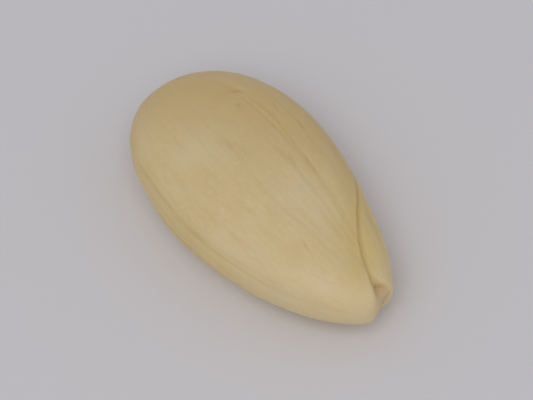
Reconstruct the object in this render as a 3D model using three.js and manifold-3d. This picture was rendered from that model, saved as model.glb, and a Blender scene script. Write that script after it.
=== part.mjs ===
// A blanched almond: one whole kernel without its brown skin, lying on its lower face.
// It grew as one piece. Its two seed leaves still hold together, and a fine seam runs all the way round
// between them. Millimetres, +Z up, +X towards the pointed end. The origin is on the resting surface, under
// the kernel's middle.
import * as THREE from "three";
import { mergeVertices } from "three/addons/utils/BufferGeometryUtils.js";
import Module from "manifold-3d";

// Overall size of the kernel as it lies.
const LENGTH = 27.0;
const WIDTH = 14.6;
const THICKNESS = 8.2;
// How deep the belly is worn off where the kernel rests.
const REST_CUT = 0.05;

// How sharply each side narrows towards the point: 0 is an ellipse, 1 ends in straight sides.
const TAPER_LEFT = 1.1;
const TAPER_RIGHT = 0.12;
const TAPER_TOP = 0.42;
const TAPER_BELLY = 0.2;
// Seen from the side both ends are fuller than an ellipse's: below 1 is fuller.
const END_FULLNESS = 0.84;
// Share of the thickness above the middle, and how far the faces bulge beyond an ellipse near their edges.
const TOP_SHARE = 0.52;
const SHOULDER = 0.16;

// The point is blunt: its middle is pulled back by this much, over this share of a half turn.
const NOSE_BACK = 1.1;
const NOSE_SPREAD = 0.12;

// How far the seam has turned about the kernel's axis, in degrees: nearly level along most of the kernel,
// then more and more between these X. On the left it climbs over the face, so the lower seed leaf shows
// beside the point. On the right it dips under the kernel, so the leaves lie side by side at the point.
const SEAM_LEVEL = 4;
const LEFT_SEAM = { from: -2.0, to: 13.5, atPoint: 84 };
const RIGHT_SEAM = { from: -3.0, to: 13.5, atPoint: 80 };
const SEAM_DEPTH = 0.14;
const SEAM_HALF_WIDTH = 0.2;
// Share of its distance from the middle at which the seam's walls aim.
const SEAM_AIM = 0.75;

// Where the seed leaves part at the point: the cleft, and how far the upper leaf reaches past the lower one.
const CLEFT_DEPTH = 1.2;
const CLEFT_HALF_WIDTH = 0.7;
const CLEFT_REACH = 1.6;
const LEAF_STEP = 0.9;
const LEAF_STEP_REACH = 3.0;
const LEAF_STEP_SOFTNESS = 0.5;
// The lower leaf is fuller beside the point, on the left: by how much, at which X, and over what reach.
const LEAF_BULGE = 0.35;
const LEAF_BULGE_AT = 9.5;
const LEAF_BULGE_REACH = 2.2;
// The tip of the small root: a nub in the middle of the cleft, which fills this share of its depth.
const ROOT_FILL = 0.45;
const ROOT_RADIUS = 0.55;

// Broad shallow furrows that run lengthwise over both faces, left by the veins of the skin.
const FURROWS = 5;
const FURROW_DEPTH = 0.07;
const FURROW_HALF_WIDTH = 0.7;
const FURROW_MARGIN = 0.14;
// Soft unevenness: the height of each swell, and its wave lengths along X, Y and Z.
const SWELL = 0.035;
const SWELL_LENGTHS = [
  [14.0, 31.0, 17.0],
  [-23.0, 10.5, 13.0],
  [10.5, -16.0, 29.0],
];
// A low ridge along the right shoulder of the upper face, which runs out to the point.
const RIDGE = 0.14;
const RIDGE_HALF_WIDTH = 0.8;
const RIDGE_TURN = 148;
const RIDGE_FROM = 1.0;
const RIDGE_FULL = 8.0;
// A shallow hollow in the upper face.
const DISH_DEPTH = 0.14;
const DISH = { x: 3.0, y: 0.8, length: 6.5, width: 3.0 };

// Rings along the kernel and points round each ring. The rings stand closer at both ends, and the points
// at the seam.
const RINGS = 60;
const POINTS = 96;
const END_CROWDING = 0.35;
const SEAM_CROWDING = 0.55;

const SKIN_COLOUR = 0xe6d2a0;
const SKIN_ROUGHNESS = 0.5;

const HALF = LENGTH / 2;
const GOLDEN = 0.6180339887;
const wasm = await Module();
wasm.setup();

const { degToRad, lerp, smoothstep } = THREE.MathUtils;
const hill = (d, spread) => Math.exp(-((d / spread) ** 2));
const fraction = (a) => a - Math.floor(a);

// A teardrop's half width at turn t, from 0 at the point to PI at the blunt end, as a share of its widest.
function taper(t, m) {
  const widest = (2 * ((1 + m) / (2 + m)) ** ((1 + m) / 2)) / Math.sqrt(2 + m);
  return (2 * Math.sin(t / 2) ** (1 + m) * Math.cos(t / 2)) / widest;
}

// The elliptical cross section at turn t: its middle and its half width and half height.
function section(t) {
  const left = (WIDTH / 2) * taper(t, TAPER_LEFT);
  const right = (WIDTH / 2) * taper(t, TAPER_RIGHT);
  const up = THICKNESS * TOP_SHARE * taper(t, TAPER_TOP) ** END_FULLNESS;
  const down = THICKNESS * (1 - TOP_SHARE) * taper(t, TAPER_BELLY) ** END_FULLNESS;
  return {
    x: HALF * Math.cos(t),
    y: (left - right) / 2,
    z: (up - down) / 2,
    halfWidth: (left + right) / 2,
    halfHeight: (up + down) / 2,
  };
}

// Where one side's seam stands round a section, as an angle from the widest line, clockwise seen from the
// blunt end.
function seamAngle({ x, halfWidth, halfHeight }, side) {
  const climb = degToRad(lerp(SEAM_LEVEL, side.atPoint, smoothstep(x, side.from, side.to) ** 2));
  return Math.atan2(halfWidth * Math.sin(climb), halfHeight * Math.cos(climb));
}

// Height of the furrows of both faces: each keeps its place round the section, and fades out along the
// kernel.
function furrows(t, v, girth) {
  let height = 0;
  for (let i = 0; i < 2 * FURROWS; i++) {
    const face = i < FURROWS ? 0 : Math.PI;
    const place = ((i % FURROWS) + 0.5 + 0.5 * (fraction(i * GOLDEN) - 0.5)) / FURROWS;
    const at = face + Math.PI * lerp(FURROW_MARGIN, 1 - FURROW_MARGIN, place);
    const away = Math.atan2(Math.sin(v - at), Math.cos(v - at)) * girth;
    const strength = 0.5 + 0.5 * fraction(i * GOLDEN * 3);
    height -= strength * hill(away, FURROW_HALF_WIDTH) * Math.sin(t) ** 2;
  }
  return FURROW_DEPTH * height;
}

// Height of the soft unevenness.
function swells(x, y, z) {
  let height = 0;
  for (const [alongX, alongY, alongZ] of SWELL_LENGTHS) {
    height += Math.sin(2 * Math.PI * (x / alongX + y / alongY + z / alongZ));
  }
  return SWELL * height;
}

// Height of the ridge and the hollow, which lie on the upper face only.
function upperFace(x, y, v, girth) {
  const ridge = RIDGE * hill((v - degToRad(RIDGE_TURN)) * girth, RIDGE_HALF_WIDTH);
  const dish = DISH_DEPTH * hill(x - DISH.x, DISH.length) * hill(y - DISH.y, DISH.width);
  const up = smoothstep(Math.sin(v), 0, 0.5);
  return ridge * smoothstep(x, RIDGE_FROM, RIDGE_FULL) - up * dish;
}

// How much fuller the lower leaf is on the left, at this distance above the seam.
function leafBulge(x, above, c) {
  const side = smoothstep(-above, 0, 1.5) * smoothstep(c, 0, 0.8);
  return LEAF_BULGE * side * hill(x - LEAF_BULGE_AT, LEAF_BULGE_REACH);
}

// A point of the kernel's surface. The turn round the section is counted from the seam on the left,
// over the top to the seam on the right at PI, and back underneath.
function surface(t, turn) {
  const cut = section(t);
  const left = seamAngle(cut, LEFT_SEAM);
  const right = seamAngle(cut, RIGHT_SEAM);
  const v = turn + lerp(left, right, (1 - Math.cos(turn)) / 2);
  const [c, s] = [Math.cos(v), Math.sin(v)];
  let x = cut.x;
  let y = cut.y + cut.halfWidth * c;
  let z = cut.z + cut.halfHeight * s * (1 + SHOULDER * c * c);

  // Distances from the seam and along it, taken in the section.
  const above = Math.sin(turn) * Math.hypot(cut.halfWidth * s, cut.halfHeight * c);
  const across = Math.cos(turn) * Math.hypot(cut.halfWidth * c, cut.halfHeight * s);

  const girth = (cut.halfWidth + cut.halfHeight) / 2;
  const broad = furrows(t, v, girth) + swells(x, y, z) + upperFace(x, y, v, girth);
  const relief = (broad + leafBulge(x, above, c)) * Math.sin(t);
  y += relief * c;
  z += relief * s;

  const nearPoint = hill(HALF - cut.x, CLEFT_REACH);
  const root = t < Math.PI / 2 ? hill(Math.hypot(across, above), ROOT_RADIUS) : 0;

  // The seam's floor sinks towards the kernel's inside, less so where the root fills the cleft.
  const depth = lerp(SEAM_DEPTH, CLEFT_DEPTH, nearPoint);
  const halfWidth = lerp(SEAM_HALF_WIDTH, CLEFT_HALF_WIDTH, nearPoint);
  const inward = new THREE.Vector3((SEAM_AIM - 1) * x, cut.y - y, cut.z - z).normalize();
  const sunk = depth * hill(above, halfWidth) * (1 - ROOT_FILL * root);
  x += sunk * inward.x;
  y += sunk * inward.y;
  z += sunk * inward.z;

  // At the point the middle is pulled back, and the upper leaf reaches further than the lower one.
  const step = ((LEAF_STEP / 2) * above) / (Math.abs(above) + LEAF_STEP_SOFTNESS);
  x += step * hill(HALF - cut.x, LEAF_STEP_REACH) * (1 - root);
  x -= NOSE_BACK * hill(t / Math.PI, NOSE_SPREAD);
  return [x, y, z];
}

// The closed skin: one point at each end, and rings between them.
function kernelSkin() {
  const positions = [...surface(0, 0)];
  for (let ring = 1; ring < RINGS; ring++) {
    const t = (Math.PI * ring) / RINGS - (END_CROWDING / 2) * Math.sin((2 * Math.PI * ring) / RINGS);
    for (let i = 0; i < POINTS; i++) {
      const even = (2 * Math.PI * i) / POINTS;
      const turn = even - (SEAM_CROWDING / 2) * Math.sin(2 * even);
      positions.push(...surface(t, turn));
    }
  }
  positions.push(...surface(Math.PI, 0));

  const last = positions.length / 3 - 1;
  const at = (ring, i) => 1 + (ring - 1) * POINTS + (i % POINTS);
  const faces = [];
  for (let i = 0; i < POINTS; i++) {
    faces.push(0, at(1, i), at(1, i + 1));
    for (let ring = 1; ring < RINGS - 1; ring++) {
      faces.push(at(ring, i), at(ring + 1, i), at(ring + 1, i + 1));
      faces.push(at(ring, i), at(ring + 1, i + 1), at(ring, i + 1));
    }
    faces.push(last, at(RINGS - 1, i + 1), at(RINGS - 1, i));
  }
  const skin = new THREE.BufferGeometry();
  skin.setAttribute("position", new THREE.Float32BufferAttribute(positions, 3));
  skin.setIndex(faces);
  return skin;
}

// Brings the skin to its real size, centred over the origin, with its belly REST_CUT below the resting
// surface.
function toRealSize(skin) {
  skin.computeBoundingBox();
  const size = skin.boundingBox.getSize(new THREE.Vector3());
  skin.scale(LENGTH / size.x, WIDTH / size.y, (THICKNESS + REST_CUT) / size.z);
  skin.computeBoundingBox();
  const centre = skin.boundingBox.getCenter(new THREE.Vector3());
  return skin.translate(-centre.x, -centre.y, -skin.boundingBox.min.z - REST_CUT);
}

function solidFrom(geometry) {
  geometry.deleteAttribute("normal");
  geometry.deleteAttribute("uv");
  const merged = mergeVertices(geometry);
  return new wasm.Manifold(
    new wasm.Mesh({
      numProp: 3,
      vertProperties: merged.getAttribute("position").array,
      triVerts: new Uint32Array(merged.index.array),
    }),
  );
}

function geometryFrom(solid) {
  const mesh = solid.getMesh();
  const geometry = new THREE.BufferGeometry();
  geometry.setAttribute("position", new THREE.BufferAttribute(mesh.vertProperties, mesh.numProp));
  geometry.setIndex(new THREE.BufferAttribute(mesh.triVerts, 1));
  geometry.computeVertexNormals();
  return geometry;
}

function kernel() {
  const below = new THREE.BoxGeometry(LENGTH, WIDTH, THICKNESS).translate(0, 0, -THICKNESS / 2);
  const solid = solidFrom(toRealSize(kernelSkin())).subtract(solidFrom(below));
  const flesh = new THREE.MeshStandardMaterial({
    color: SKIN_COLOUR,
    roughness: SKIN_ROUGHNESS,
    metalness: 0,
  });
  const mesh = new THREE.Mesh(geometryFrom(solid), flesh);
  mesh.name = "kernel";
  return mesh;
}

const almond = new THREE.Group();
almond.add(kernel());

export default almond;
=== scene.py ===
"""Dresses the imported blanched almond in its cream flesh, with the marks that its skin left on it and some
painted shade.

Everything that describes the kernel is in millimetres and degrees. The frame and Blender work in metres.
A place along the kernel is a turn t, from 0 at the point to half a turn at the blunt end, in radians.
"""
import math
import bpy
import numpy as np
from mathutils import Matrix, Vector


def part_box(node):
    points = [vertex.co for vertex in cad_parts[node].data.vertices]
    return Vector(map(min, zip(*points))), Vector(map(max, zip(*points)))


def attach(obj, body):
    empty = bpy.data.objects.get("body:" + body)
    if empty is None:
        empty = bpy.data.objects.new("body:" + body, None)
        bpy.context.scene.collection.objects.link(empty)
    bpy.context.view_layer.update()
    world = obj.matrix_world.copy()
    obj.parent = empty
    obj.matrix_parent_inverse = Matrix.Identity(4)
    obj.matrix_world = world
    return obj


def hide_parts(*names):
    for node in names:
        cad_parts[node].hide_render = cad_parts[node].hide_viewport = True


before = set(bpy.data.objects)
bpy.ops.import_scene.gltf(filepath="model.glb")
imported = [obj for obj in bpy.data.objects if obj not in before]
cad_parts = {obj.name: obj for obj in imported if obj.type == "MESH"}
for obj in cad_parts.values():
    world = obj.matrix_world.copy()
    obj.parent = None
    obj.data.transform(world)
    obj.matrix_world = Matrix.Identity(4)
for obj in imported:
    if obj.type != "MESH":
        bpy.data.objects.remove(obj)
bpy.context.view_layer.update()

MM = 0.001
BODY = "root"
NODE = "kernel"

# The kernel's box, as packed, and how deep its belly is worn off where it rests.
LOW, HIGH = (np.array(corner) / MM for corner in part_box(NODE))
LENGTH, WIDTH, THICKNESS = HIGH - LOW
HALF = LENGTH / 2
REST_CUT = 0.05

# The form, as the solid has it. How sharply each side narrows to the point: 0 is an ellipse, 1 ends straight.
TAPER_LEFT = 1.1
TAPER_RIGHT = 0.12
TAPER_TOP = 0.42
TAPER_BELLY = 0.2
# Seen from the side both ends are fuller than an ellipse's: below 1 is fuller.
END_FULLNESS = 0.84
# Share of the thickness above the middle, and how far the faces bulge beyond an ellipse near their edges.
TOP_SHARE = 0.52
SHOULDER = 0.16
# The point is blunt: its middle is pulled back by this much, over this share of a half turn.
NOSE_BACK = 1.1
NOSE_SPREAD = 0.12

# How far the seam has turned about the kernel's axis: nearly level along most of the kernel, then more and
# more between these X. On the left it climbs over the face, and on the right it dips under the kernel.
SEAM_LEVEL = 4
LEFT_SEAM = {"start": -2.0, "end": 13.5, "at_point": 84}
RIGHT_SEAM = {"start": -3.0, "end": 13.5, "at_point": 80}
SEAM_DEPTH = 0.14
SEAM_HALF_WIDTH = 0.2
# Share of its distance from the middle at which the seam's walls aim.
SEAM_AIM = 0.75
# The seam comes and goes in waves along X, in radians per millimetre. The quick one counts for this share.
SEAM_WAVES = {"slow": 0.61, "middling": 1.7, "quick": 3.9}
QUICK_SHARE = 0.5
# Shares of the seam's depth and width that the waves change.
DEPTH_CHANGE = 0.25
WIDTH_CHANGE = 0.15
# The flesh stands up as a low lip on both sides of the seam, and one leaf or the other stands proud of it.
SEAM_LIP = {"height": 0.035, "at": 0.5, "half_width": 0.25}
LEAF_PROUD = {"height": 0.07, "softness": 0.2, "reach": 1.2, "wave": 0.45, "shift": 0.6}

# Where the seed leaves part at the point: the cleft, and how far the upper leaf reaches past the lower one.
CLEFT_DEPTH = 1.2
CLEFT_HALF_WIDTH = 0.7
CLEFT_REACH = 1.6
LEAF_STEP = 0.9
LEAF_STEP_REACH = 3.0
LEAF_STEP_SOFTNESS = 0.5
# The lower leaf is fuller beside the point, on the left: by how much, at which X, and over what reach.
LEAF_BULGE = 0.35
LEAF_BULGE_AT = 9.5
LEAF_BULGE_REACH = 2.2
# It is in full this far below the seam, and where the cosine of the turn round the section is at least this.
LEAF_BULGE_BELOW = 1.5
LEAF_BULGE_LEFT = 0.8
# The tip of the small root: a nub in the middle of the cleft, which fills this share of its depth.
ROOT_FILL = 0.45
ROOT_RADIUS = 0.55

# Broad shallow furrows that run lengthwise over both faces, left by the veins of the skin.
FURROWS = 5
FURROW_DEPTH = 0.07
FURROW_HALF_WIDTH = 0.7
FURROW_MARGIN = 0.14
GOLDEN_RATIO = 0.6180339887
# Soft unevenness: the height of each swell, and its wave lengths along X, Y and Z.
SWELL = 0.035
SWELL_LENGTHS = ((14.0, 31.0, 17.0), (-23.0, 10.5, 13.0), (10.5, -16.0, 29.0))
# A low ridge along the right shoulder of the upper face, which runs out to the point.
RIDGE = 0.14
RIDGE_HALF_WIDTH = 0.8
RIDGE_TURN = 148
RIDGE_FROM = 1.0
RIDGE_FULL = 8.0
# A shallow hollow in the upper face.
DISH_DEPTH = 0.14
DISH = {"x": 3.0, "y": 0.8, "length": 6.5, "width": 3.0}
# A face fades in from the widest line, between these sines of the turn round the section.
FACE_FADE = (0, 0.5)

# Relief too fine for the solid. A pair holds the least and the most of a seeded draw.
SEED = 27
WAVE_START = (0, 6)
# Veins wander round the section by some radians in a few waves. Shares of a half turn give where the middle
# of each lies along the kernel, and how far it reaches.
VEINS = 90
VEIN_DEPTH = (0.012, 0.04)
VEIN_HALF_WIDTH = (0.09, 0.22)
VEIN_WANDER = (0.01, 0.05)
VEIN_WAVES = (2, 7)
VEIN_MIDDLE = (0.25, 0.85)
VEIN_REACH = (0.12, 0.4)
# Puckers round the blunt end: the reach of the longest, in radians along the kernel, what share of it each
# has, and how far each stands from its even place, as a share of the gap. All bend in the same few waves.
PUCKERS = 26
PUCKER_DEPTH = (0.04, 0.11)
PUCKER_REACH = 0.62
PUCKER_SHARE = (0.4, 1)
PUCKER_SHIFT = (-0.4, 0.4)
PUCKER_BEND = 0.15
PUCKER_WAVES = 5
# Dents lie on both faces, within this share of the box from its middle. A height counts half in their reach.
DENTS = 26
DENT_RADIUS = (0.2, 0.75)
DENT_DEPTH = (0.01, 0.05)
DENT_SPREAD = 0.45
DENT_HEIGHT_SHARE = 0.5
# Fine unevenness: plane waves of about this length, and what their sum is divided by to be about 1 high.
UNEVEN = 0.012
UNEVEN_LENGTH = 2.3
UNEVEN_SPREAD = (0.6, 1.6)
UNEVEN_WAVES = 12
UNEVEN_SUM = 3

# Marks of handling on the upper face: a pit, and a crescent dent round it like a nail's, in degrees of turn.
PIT = {"x": -6.1, "y": 2.8, "radius": 0.26, "depth": 0.09}
CRESCENT = {"radius": 1.55, "middle": 132, "half_turn": 32, "half_width": 0.2, "depth": 0.055}
# Flesh pushed up inside the crescent, as shares of its radius and depth.
CRESCENT_RIM = {"at": 0.75, "height": 0.5}
# Short nicks along the grain, at these X and Y, and how far they slant.
NICKS = ((-4.3, 4.8), (-1.9, 5.1), (-0.4, 4.6), (0.6, 2.0), (6.2, -2.6))
NICK_DEPTH = 0.05
NICK_HALF_LENGTH = 0.75
NICK_HALF_WIDTH = 0.14
NICK_SLANT = 0.25
# These marks fade in between these sines of the turn round the section.
HANDLED_FADE = (0.1, 0.4)
# Round the flat spot that it rests on, the fine relief is pressed smooth over this reach along X and Y.
PRESSED = {"x": -1.3, "y": 0.0, "length": 6.0, "width": 3.5}

# How far the marks that colour the flesh reach: the seam's painted shade as a multiple of its half width,
# the edge's tint and painted shade and the point's tint in millimetres, and the blunt end's in radians.
SEAM_TINT_SPREAD = 1.6
EDGE_TINT_AND_SHADE_REACH = 2.6
TIP_TINT_REACH = 3.2
BLUNT_END_TINT_REACH = 0.22
# The lower leaf's tint starts softly below the seam, and comes in between these X.
LOWER_LEAF_TINT = {"softness": 0.3, "start": 1, "full": 6}
# How strongly the root's tint shows in the rest of the cleft, and the depth of a hollow in the fine relief
# at which its painted shade is full.
CLEFT_TINT = 0.7
HOLLOW_SHADE_DEPTH = 0.15
# A golden painted shade, with painted warm bounce light, grows towards the left and the blunt end: Y less
# this share of X, between two values.
PAINTED_FAR_SHADE = {"slant": 0.6, "start": -3, "full": 8.5}

# The flesh's colours, as sRGB hex values.
CREAM = 0xEAD29E
PALE = 0xEEDAB0
WARM = 0xE2C688
# Yellow at the edge, partly the flesh's own tint and partly painted shade near the rims.
YELLOW = 0xE0C67E
# Painted shade with painted warm bounce light, towards the left and the blunt end.
SHADE_GOLD = 0xD9B872
# Painted shade in the hollows of the fine relief and in the seam.
DEEP_SHADE = 0xCFAE6C
TAN = 0xC79A5E
STRAW = 0xE9D190
ROSE = 0xEBD0B2
# Patches of 6 mm, fibres 0.4 mm wide, mottles of 0.5 mm and a grain of 0.15 mm, each as a count in 1 mm.
PATCHES = 1 / 6
FIBRES = 2.5
MOTTLES = 2
GRAINS = 6.5
# Fibres are counted on a round of this radius. A length along the kernel counts for this share, which
# makes them six times as long as wide.
FIBRE_RADIUS = 5.7
FIBRE_STRETCH = 0.16
# How high the fibres and the grain stand.
FIBRE_HEIGHT = 0.08
GRAIN_HEIGHT = 0.03

# The grid: rings along the kernel, points round it, and how much closer they stand at the seam.
RINGS = 220
POINTS = 450
SEAM_CROWDING = 0.35

# The camera looks at the kernel as the photograph does. It sees nothing nearer than NEAREST.
AZIMUTH = 53.7
ELEVATION = 54.4
ROLL = -9.0
DISTANCE = 328
LENS = 290
AIM = (-0.3, -0.1, 3.4)
NEAREST = 10

# Square soft boxes: degrees to the right of the camera's side, degrees up, watts, and colour.
LIGHT_DISTANCE = 700
LIGHT_SIDE = 430
LIGHTS = {
    "key": (-5, 60, 1.05, 0xFFFDFA),
    "left_fill": (-38, 54, 0.42, 0xFFFDFA),
    "right_fill": (60, 50, 0.1, 0xF8F9FF),
}
ROOM = 0xECECF0
ROOM_STRENGTH = 0.44
PAPER = 0xE8E6EA
FLOOR_REACH = 1500


def linear(colour):
    """Linear RGBA of an sRGB hex colour: below 0.04045 a straight line, above it a power of 2.4."""
    srgb = np.array([(colour >> shift & 255) / 255 for shift in (16, 8, 0)])
    return (*np.where(srgb <= 0.04045, srgb / 12.92, ((srgb + 0.055) / 1.055) ** 2.4), 1.0)


def hill(d, spread):
    """A bell curve, 1 at 0 and 1/e at spread."""
    return np.exp(-((d / spread) ** 2))


def smoothstep(x, start, end):
    """Rises smoothly from 0 at start to 1 at end."""
    s = np.clip((x - start) / (end - start), 0, 1)
    return s * s * (3 - 2 * s)


def lerp(a, b, share):
    """The value at this share of the way from a to b."""
    return a + (b - a) * share


def fraction(a):
    """What a number has beyond its whole part."""
    return a - math.floor(a)


def away(v, at):
    """The shortest turn from angle at to angle v."""
    return np.arctan2(np.sin(v - at), np.cos(v - at))


def taper(t, m):
    """A teardrop's half width at turn t, as a share of its widest.

    It is sin(t/2) to the power 1 + m, times cos(t/2).
    """
    widest = 2 * ((1 + m) / (2 + m)) ** ((1 + m) / 2) / math.sqrt(2 + m)
    return 2 * np.sin(t / 2) ** (1 + m) * np.cos(t / 2) / widest


def section(t):
    """The elliptical cross section at turn t: its x, its middle's y and z, its half width and half height."""
    left = WIDTH / 2 * taper(t, TAPER_LEFT)
    right = WIDTH / 2 * taper(t, TAPER_RIGHT)
    up = THICKNESS * TOP_SHARE * taper(t, TAPER_TOP) ** END_FULLNESS
    down = THICKNESS * (1 - TOP_SHARE) * taper(t, TAPER_BELLY) ** END_FULLNESS
    return HALF * np.cos(t), (left - right) / 2, (up - down) / 2, (left + right) / 2, (up + down) / 2


def seam_angle(x, half_width, half_height, side):
    """Where one side's seam stands round a section: level at first, then turning towards the point."""
    turned = smoothstep(x, side["start"], side["end"]) ** 2
    climb = np.radians(lerp(SEAM_LEVEL, side["at_point"], turned))
    return np.arctan2(half_width * np.sin(climb), half_height * np.cos(climb))


def furrows(t, v, girth):
    """Broad shallow furrows: bell curves across, which fade to both ends.

    Each stands up to a quarter of a gap off its even place and is at half to full depth, by the golden ratio.
    """
    height = 0
    for i in range(2 * FURROWS):
        face = 0 if i < FURROWS else math.pi
        place = (i % FURROWS + 0.5 + 0.5 * (fraction(i * GOLDEN_RATIO) - 0.5)) / FURROWS
        at = face + math.pi * lerp(FURROW_MARGIN, 1 - FURROW_MARGIN, place)
        strength = 0.5 + 0.5 * fraction(i * GOLDEN_RATIO * 3)
        height = height - strength * hill(away(v, at) * girth, FURROW_HALF_WIDTH) * np.sin(t) ** 2
    return FURROW_DEPTH * height


def swells(x, y, z):
    """Soft unevenness: three long plane waves added up."""
    waves = (np.sin(2 * math.pi * (x / a + y / b + z / c)) for a, b, c in SWELL_LENGTHS)
    return SWELL * sum(waves)


def upper_face(x, y, v, girth):
    """The low ridge along the right shoulder and the shallow hollow beside it, each a bell curve."""
    ridge = RIDGE * hill((v - math.radians(RIDGE_TURN)) * girth, RIDGE_HALF_WIDTH)
    dish = DISH_DEPTH * hill(x - DISH["x"], DISH["length"]) * hill(y - DISH["y"], DISH["width"])
    return ridge * smoothstep(x, RIDGE_FROM, RIDGE_FULL) - smoothstep(np.sin(v), *FACE_FADE) * dish


def leaf_bulge(x, above, c):
    """How much fuller the lower leaf is, left of the point and below the seam: a bell curve along X."""
    side = smoothstep(-above, 0, LEAF_BULGE_BELOW) * smoothstep(c, 0, LEAF_BULGE_LEFT)
    return LEAF_BULGE * side * hill(x - LEAF_BULGE_AT, LEAF_BULGE_REACH)


def seam_wander(x):
    """How the seam comes and goes along X: a middling wave times a slow one, and half of a quick one."""
    swing = np.sin(x * SEAM_WAVES["middling"]) * np.sin(x * SEAM_WAVES["slow"] + 1)
    return swing + QUICK_SHARE * np.sin(x * SEAM_WAVES["quick"] + 2)


def seam_lips(above):
    """The raised lips of the seam: a bell curve on each side of it."""
    return SEAM_LIP["height"] * hill(np.abs(above) - SEAM_LIP["at"], SEAM_LIP["half_width"])


def proud_leaf(x, above):
    """One leaf stands proud of the other: a soft step at the seam, which changes sides in a wave."""
    step = LEAF_PROUD["height"] / 2 * np.tanh(above / LEAF_PROUD["softness"])
    return step * hill(above, LEAF_PROUD["reach"]) * np.sin(x * LEAF_PROUD["wave"] + LEAF_PROUD["shift"])


def veins(t, v, girth, draw):
    """Fine lines left by the skin's veins: narrow bell curves that wander round the section and fade."""
    height = 0
    for _ in range(VEINS):
        start = draw.uniform(0, 2 * math.pi)
        wander = draw.uniform(*VEIN_WANDER)
        waves = draw.uniform(*VEIN_WAVES)
        at = start + wander * np.sin(waves * t + draw.uniform(*WAVE_START))
        middle = draw.uniform(*VEIN_MIDDLE) * math.pi
        reach = draw.uniform(*VEIN_REACH) * math.pi
        line = hill(away(v, at) * girth, draw.uniform(*VEIN_HALF_WIDTH))
        height = height - draw.uniform(*VEIN_DEPTH) * line * hill(t - middle, reach)
    return height * np.sin(t)


def puckers(t, v, girth, draw):
    """Small creases that run out from the blunt end, where the skin was fed: short narrow bell curves."""
    height = 0
    for i in range(PUCKERS):
        at = 2 * math.pi * (i + draw.uniform(*PUCKER_SHIFT)) / PUCKERS
        bend = PUCKER_BEND * np.sin(PUCKER_WAVES * t + i)
        line = hill(away(v, at + bend) * girth, draw.uniform(*VEIN_HALF_WIDTH))
        reach = PUCKER_REACH * draw.uniform(*PUCKER_SHARE)
        height = height - draw.uniform(*PUCKER_DEPTH) * line * hill(math.pi - t, reach)
    return height * np.sin(t) ** 0.5


def dents(x, y, z, draw):
    """Small dents from handling: bell curves round points picked over both faces of the kernel's box."""
    height = 0
    for _ in range(DENTS):
        cx, cy, cz = draw.uniform(-DENT_SPREAD, DENT_SPREAD, 3) * (LENGTH, WIDTH, THICKNESS)
        cz = math.copysign(THICKNESS / 2, cz)
        reach = np.sqrt((x - cx) ** 2 + (y - cy) ** 2 + (DENT_HEIGHT_SHARE * (z - cz)) ** 2)
        height = height - draw.uniform(*DENT_DEPTH) * hill(reach, draw.uniform(*DENT_RADIUS))
    return height


def uneven(x, y, z, draw):
    """Fine unevenness: a dozen plane waves of about the same length in all directions."""
    height = 0
    for _ in range(UNEVEN_WAVES):
        direction = draw.normal(size=3)
        length = np.linalg.norm(direction) * UNEVEN_LENGTH * draw.uniform(*UNEVEN_SPREAD)
        direction *= 2 * math.pi / length
        turned = x * direction[0] + y * direction[1] + z * direction[2]
        height = height + np.sin(turned + draw.uniform(*WAVE_START))
    return UNEVEN * height / UNEVEN_SUM


def handling_marks(x, y, v):
    """On the upper face: the pit, the crescent round it with its rim, and the nicks, all bell curves."""
    ahead = x - PIT["x"]
    beside = y - PIT["y"]
    reach = np.hypot(ahead, beside)
    turn = away(np.arctan2(beside, ahead), math.radians(CRESCENT["middle"]))
    arc = hill(turn, math.radians(CRESCENT["half_turn"]))
    groove = hill(reach - CRESCENT["radius"], CRESCENT["half_width"])
    rim = hill(reach - CRESCENT["radius"] * CRESCENT_RIM["at"], CRESCENT["half_width"])
    height = -PIT["depth"] * hill(reach, PIT["radius"])
    height = height - CRESCENT["depth"] * arc * groove
    height = height + CRESCENT["depth"] * CRESCENT_RIM["height"] * arc * rim
    for along, across in NICKS:
        slanted = y - across + NICK_SLANT * (x - along)
        height = height - NICK_DEPTH * (hill(x - along, NICK_HALF_LENGTH) * hill(slanted, NICK_HALF_WIDTH))
    return height * smoothstep(np.sin(v), *HANDLED_FADE)


def fine_relief(t, v, girth, x, y, z):
    """All relief that is too fine for the solid, pressed smooth on the belly where the kernel rests."""
    draw = np.random.default_rng(SEED)
    height = veins(t, v, girth, draw) + puckers(t, v, girth, draw)
    height = height + dents(x, y, z, draw) + uneven(x, y, z, draw)
    height = height + handling_marks(x, y, v)
    pressed = hill(x - PRESSED["x"], PRESSED["length"]) * hill(y - PRESSED["y"], PRESSED["width"])
    return height * (1 - pressed * smoothstep(-np.sin(v), *FACE_FADE))


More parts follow.
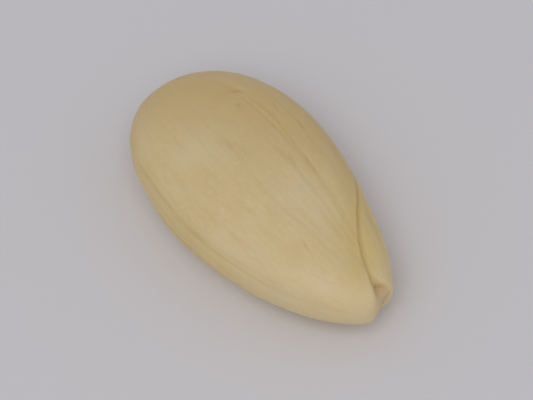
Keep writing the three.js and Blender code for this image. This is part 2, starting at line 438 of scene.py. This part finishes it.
def kernel_surface(t, turn):
    """The kernel's skin at turn t along it and turn round it, counted from the left seam over the top.

    An elliptical section with fuller shoulders follows a teardrop along X. Relief moves it outwards, and the
    seam sinks towards the inside as a bell curve across it. Towards the point the seam turns about the
    kernel's axis and deepens into the cleft, which the tip of the root partly fills. There the upper leaf
    reaches further than the lower one, and the middle of the point is pulled back.
    Returns x, y and z, and the marks that tint the flesh or paint shade on it, with the place that its fibres
    are counted from.
    """
    x, middle_y, middle_z, half_width, half_height = section(t)
    left = seam_angle(x, half_width, half_height, LEFT_SEAM)
    right = seam_angle(x, half_width, half_height, RIGHT_SEAM)
    v = turn + lerp(left, right, (1 - np.cos(turn)) / 2)
    c = np.cos(v)
    s = np.sin(v)
    y = middle_y + half_width * c
    z = middle_z + half_height * s * (1 + SHOULDER * c * c)

    # Distances from the seam and along it, taken in the section.
    above = np.sin(turn) * np.hypot(half_width * s, half_height * c)
    across = np.cos(turn) * np.hypot(half_width * c, half_height * s)

    girth = (half_width + half_height) / 2
    fine = fine_relief(t, v, girth, x, y, z)
    broad = furrows(t, v, girth) + swells(x, y, z) + upper_face(x, y, v, girth) + leaf_bulge(x, above, c)
    outwards = (broad + fine + seam_lips(above) + proud_leaf(x, above)) * np.sin(t)
    y = y + outwards * c
    z = z + outwards * s

    # The seam's floor sinks towards the kernel's inside, less so where the root fills the cleft.
    near_point = hill(HALF - x, CLEFT_REACH)
    wander = seam_wander(x)
    depth = lerp(SEAM_DEPTH, CLEFT_DEPTH, near_point) * (1 + DEPTH_CHANGE * wander)
    half_gap = lerp(SEAM_HALF_WIDTH, CLEFT_HALF_WIDTH, near_point) * (1 + WIDTH_CHANGE * wander)
    seam = hill(above, half_gap)
    root = np.where(t < math.pi / 2, hill(np.hypot(across, above), ROOT_RADIUS), 0)
    inward = np.stack(np.broadcast_arrays((SEAM_AIM - 1) * x, middle_y - y, middle_z - z))
    sunk = depth * seam * (1 - ROOT_FILL * root) * inward / np.linalg.norm(inward, axis=0)

    # At the point the middle is pulled back, and the upper leaf reaches further than the lower one.
    step = LEAF_STEP / 2 * above / (np.abs(above) + LEAF_STEP_SOFTNESS) * hill(HALF - x, LEAF_STEP_REACH)
    nose = NOSE_BACK * hill(t / math.pi, NOSE_SPREAD)

    below = smoothstep(-above, 0, LOWER_LEAF_TINT["softness"])
    # Painted shade with painted warm bounce light, growing towards the left and the blunt end.
    golden = y - PAINTED_FAR_SHADE["slant"] * x
    marks = {
        # Painted shade in the seam's groove.
        "seam": hill(above, SEAM_TINT_SPREAD * half_gap),
        # Partly the flesh's own yellower edge, partly painted shade near the rims.
        "edge": hill(above, EDGE_TINT_AND_SHADE_REACH),
        "lower_leaf": below * smoothstep(x, LOWER_LEAF_TINT["start"], LOWER_LEAF_TINT["full"]),
        "tip": hill(HALF - x, TIP_TINT_REACH),
        "root": np.maximum(root, CLEFT_TINT * seam * near_point),
        # Painted shade, darker in deeper hollows of the fine relief.
        "hollow": np.clip(-fine / HOLLOW_SHADE_DEPTH, 0, 1),
        "blunt_end": hill(math.pi - t, BLUNT_END_TINT_REACH),
        # Painted shade with painted warm bounce light.
        "golden": smoothstep(golden, PAINTED_FAR_SHADE["start"], PAINTED_FAR_SHADE["full"]),
    }
    fibre_place = np.broadcast_arrays(FIBRE_RADIUS * c, FIBRE_RADIUS * s, FIBRE_STRETCH * HALF * t)
    marks["fibre_place"] = np.stack(fibre_place, axis=-1)
    return x + sunk[0] + step * (1 - root) - nose, y + sunk[1], z + sunk[2], marks


def to_packed_box(spots):
    """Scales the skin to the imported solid's box, and flattens what would reach below the resting surface."""
    low = spots.min(axis=0)
    size = spots.max(axis=0) - low
    wanted = HIGH - LOW + (0, 0, REST_CUT)
    placed = (spots - low) / size * wanted + LOW - (0, 0, REST_CUT)
    placed[:, 2] = np.maximum(placed[:, 2], LOW[2])
    return placed


def closed_grid(name, surface):
    """A closed mesh on a grid of rings: one point at each end, and four-sided faces between the rings."""
    t = np.linspace(0, math.pi, RINGS + 1)[:, None]
    even = np.linspace(0, 2 * math.pi, POINTS, endpoint=False)[None]
    x, y, z, marks = surface(t, even - SEAM_CROWDING / 2 * np.sin(2 * even))
    keep = np.r_[0, POINTS : RINGS * POINTS + 1]
    spots = np.stack([x, y, z], axis=-1).reshape(-1, 3)[keep]

    ring = 1 + POINTS * np.arange(RINGS - 1)[:, None]
    here = ring + np.arange(POINTS)
    after = ring + (np.arange(POINTS) + 1) % POINTS
    last = len(spots) - 1
    sides = np.stack([here[:-1], here[1:], after[1:], after[:-1]], axis=-1).reshape(-1, 4)
    start_cap = np.stack([np.zeros(POINTS, int), here[0], after[0]], axis=-1)
    end_cap = np.stack([np.full(POINTS, last), after[-1], here[-1]], axis=-1)
    faces = [*sides.tolist(), *start_cap.tolist(), *end_cap.tolist()]

    mesh = bpy.data.meshes.new(name)
    mesh.from_pydata(to_packed_box(spots) * MM, [], faces)
    for mark, strength in marks.items():
        if strength.ndim == 3:
            attribute = mesh.attributes.new(mark, "FLOAT_VECTOR", "POINT")
            attribute.data.foreach_set("vector", strength.reshape(-1, 3)[keep].astype(np.float32).reshape(-1))
        else:
            strength = np.broadcast_to(strength, x.shape).reshape(-1)[keep]
            attribute = mesh.attributes.new(mark, "FLOAT", "POINT")
            attribute.data.foreach_set("value", strength.astype(np.float32))
    mesh.shade_smooth()
    mesh.update()
    piece = bpy.data.objects.new(name, mesh)
    bpy.context.collection.objects.link(piece)
    return piece


def add_node(tree, kind, inputs=None, **settings):
    """Adds one shader node, with its own settings, and each input either linked or set."""
    node = tree.nodes.new("ShaderNode" + kind)
    for name, value in settings.items():
        setattr(node, name, value)
    for socket, value in (inputs or {}).items():
        if isinstance(value, bpy.types.NodeSocket):
            tree.links.new(value, node.inputs[socket])
        else:
            node.inputs[socket].default_value = value
    return node


def new_material(name):
    """An empty material with its node tree and output node."""
    material = bpy.data.materials.new(name)
    material.use_nodes = True
    material.node_tree.nodes.clear()
    return material, material.node_tree, add_node(material.node_tree, "OutputMaterial")


def almond_flesh():
    """Raw almond flesh, blanched and rubbed clean of its skin.

    It is dense, oily and a little see-through, so light bleeds into it and its shine is soft and broad.
    Rubbing leaves it faintly powdery, so its rims catch a weak sheen. The cream colour drifts over a few
    millimetres. It is yellower at the edge, partly its own tint and partly painted shade, and straw on the
    lower leaf. A golden painted shade with painted warm bounce light lies towards the left and the blunt end,
    which is also a little tan. It is pale at the point and rosy at the root, and painted shade darkens the
    hollows and the seam.
    """
    material, tree, output = new_material("blanched_almond_flesh")
    here = add_node(tree, "TexCoord").outputs["Object"]
    in_mm = add_node(tree, "Mapping", {"Vector": here, "Scale": (1 / MM,) * 3}).outputs["Vector"]
    along = add_node(tree, "Attribute", attribute_name="fibre_place").outputs["Vector"]

    patches = add_node(tree, "TexNoise", {"Vector": in_mm, "Scale": PATCHES, "Detail": 3, "Roughness": 0.55})
    fibres = add_node(tree, "TexNoise", {"Vector": along, "Scale": FIBRES, "Detail": 4, "Roughness": 0.65})
    mottles = add_node(tree, "TexNoise", {"Vector": in_mm, "Scale": MOTTLES, "Detail": 3, "Roughness": 0.6})
    grain = add_node(tree, "TexNoise", {"Vector": in_mm, "Scale": GRAINS, "Detail": 3, "Roughness": 0.6})

    # Each layer: its colour, the pattern or mark that masks it, where the mask starts and ends, its share.
    colour = linear(CREAM)
    layers = (
        (PALE, patches.outputs["Fac"], 0.35, 0.65, 0.8),
        (WARM, fibres.outputs["Fac"], 0.45, 0.75, 0.4),
        (PALE, mottles.outputs["Fac"], 0.5, 0.7, 0.5),
        # Partly the flesh's own yellow, partly painted shade at the rims.
        (YELLOW, "edge", 0.1, 1.0, 0.6),
        (STRAW, "lower_leaf", 0.0, 1.0, 0.55),
        # Painted shade with painted warm bounce light.
        (SHADE_GOLD, "golden", 0.0, 1.0, 0.52),
        (PALE, "tip", 0.1, 1.0, 0.7),
        # Painted shade in the hollows.
        (DEEP_SHADE, "hollow", 0.0, 1.0, 0.8),
        (TAN, "blunt_end", 0.0, 1.0, 0.35),
        # Painted shade in the seam's groove.
        (DEEP_SHADE, "seam", 0.1, 1.0, 0.4),
        (ROSE, "root", 0.1, 0.9, 0.7),
    )
    for tint, mask, start, end, most in layers:
        if isinstance(mask, str):
            mask = add_node(tree, "Attribute", attribute_name=mask).outputs["Fac"]
        share = add_node(
            tree, "MapRange", {"Value": mask, "From Min": start, "From Max": end, "To Max": most},
            interpolation_type="SMOOTHSTEP",
        )
        colour = add_node(
            tree, "Mix", {0: share.outputs["Result"], 6: colour, 7: linear(tint)}, data_type="RGBA",
        ).outputs[2]

    roughness = add_node(tree, "MapRange", {"Value": fibres.outputs["Fac"], "To Min": 0.36, "To Max": 0.52})
    coarse = add_node(
        tree, "Bump", {"Height": fibres.outputs["Fac"], "Strength": 0.6, "Distance": FIBRE_HEIGHT * MM},
    )
    bump = add_node(
        tree, "Bump",
        {
            "Height": grain.outputs["Fac"],
            "Strength": 0.5,
            "Distance": GRAIN_HEIGHT * MM,
            "Normal": coarse.outputs["Normal"],
        },
    )
    shader = add_node(
        tree, "BsdfPrincipled",
        {
            "Base Color": colour,
            "Roughness": roughness.outputs["Result"],
            "Normal": bump.outputs["Normal"],
            "IOR": 1.46,
            "Subsurface Weight": 0.35,
            "Subsurface Radius": (1.0, 0.6, 0.3),
            "Subsurface Scale": 1.1 * MM,
            "Sheen Weight": 0.25,
            "Sheen Roughness": 0.5,
            "Sheen Tint": linear(PALE),
        },
    )
    tree.links.new(shader.outputs["BSDF"], output.inputs["Surface"])
    return material


def paper_floor():
    """Matt backdrop paper, a cool pale grey without shine."""
    material, tree, output = new_material("backdrop_paper")
    shader = add_node(
        tree, "BsdfPrincipled", {"Base Color": linear(PAPER), "Roughness": 0.9, "Specular IOR Level": 0.2},
    )
    tree.links.new(shader.outputs["BSDF"], output.inputs["Surface"])
    mesh = bpy.data.meshes.new("floor")
    side = FLOOR_REACH * MM
    corners = [(-side, -side, 0), (side, -side, 0), (side, side, 0), (-side, side, 0)]
    mesh.from_pydata(corners, [], [(0, 1, 2, 3)])
    floor = bpy.data.objects.new("floor", mesh)
    floor.data.materials.append(material)
    bpy.context.collection.objects.link(floor)


def dressed_kernel():
    """The fine skin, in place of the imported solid."""
    kernel = closed_grid("kernel_skin", kernel_surface)
    kernel.data.materials.append(almond_flesh())
    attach(kernel, BODY)
    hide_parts(NODE)


def from_camera_side(turn, elevation, distance):
    """A place seen from the kernel: turned to the right of the camera's side, and raised, in degrees."""
    heading = math.radians(AZIMUTH + turn)
    up = math.radians(elevation)
    flat = math.cos(up)
    return Vector((math.sin(heading) * flat, -math.cos(heading) * flat, math.sin(up))) * distance * MM


def aimed(thing, place, target):
    """Puts a camera or light in its place and turns it to the target."""
    thing.location = place
    thing.rotation_euler = (target - place).to_track_quat("-Z", "Y").to_euler()
    bpy.context.collection.objects.link(thing)


def soft_light(name, turn, elevation, power, colour):
    """A square soft box aimed at the kernel."""
    lamp = bpy.data.lights.new(name, "AREA")
    lamp.size = LIGHT_SIDE * MM
    lamp.energy = power
    lamp.color = linear(colour)[:3]
    place = from_camera_side(turn, elevation, LIGHT_DISTANCE)
    aimed(bpy.data.objects.new(name, lamp), place, Vector((0, 0, 0)))


def studio():
    """Soft light from above the camera, weaker ones from its left and right, and an even pale room."""
    for name, settings in LIGHTS.items():
        soft_light(name, *settings)
    world = bpy.data.worlds.new("room")
    world.use_nodes = True
    background = world.node_tree.nodes["Background"]
    background.inputs["Color"].default_value = linear(ROOM)
    background.inputs["Strength"].default_value = ROOM_STRENGTH
    bpy.context.scene.world = world
    bpy.context.scene.view_settings.view_transform = "Standard"


def camera():
    """The camera, looking down at the kernel from the photograph's side and height."""
    lens = bpy.data.cameras.new("camera")
    lens.lens = LENS
    lens.clip_start = NEAREST * MM
    seer = bpy.data.objects.new("camera", lens)
    target = Vector(AIM) * MM
    aimed(seer, target + from_camera_side(0, ELEVATION, DISTANCE), target)
    seer.rotation_euler.rotate_axis("Z", math.radians(ROLL))
    bpy.context.scene.camera = seer


camera()
dressed_kernel()
paper_floor()
studio()
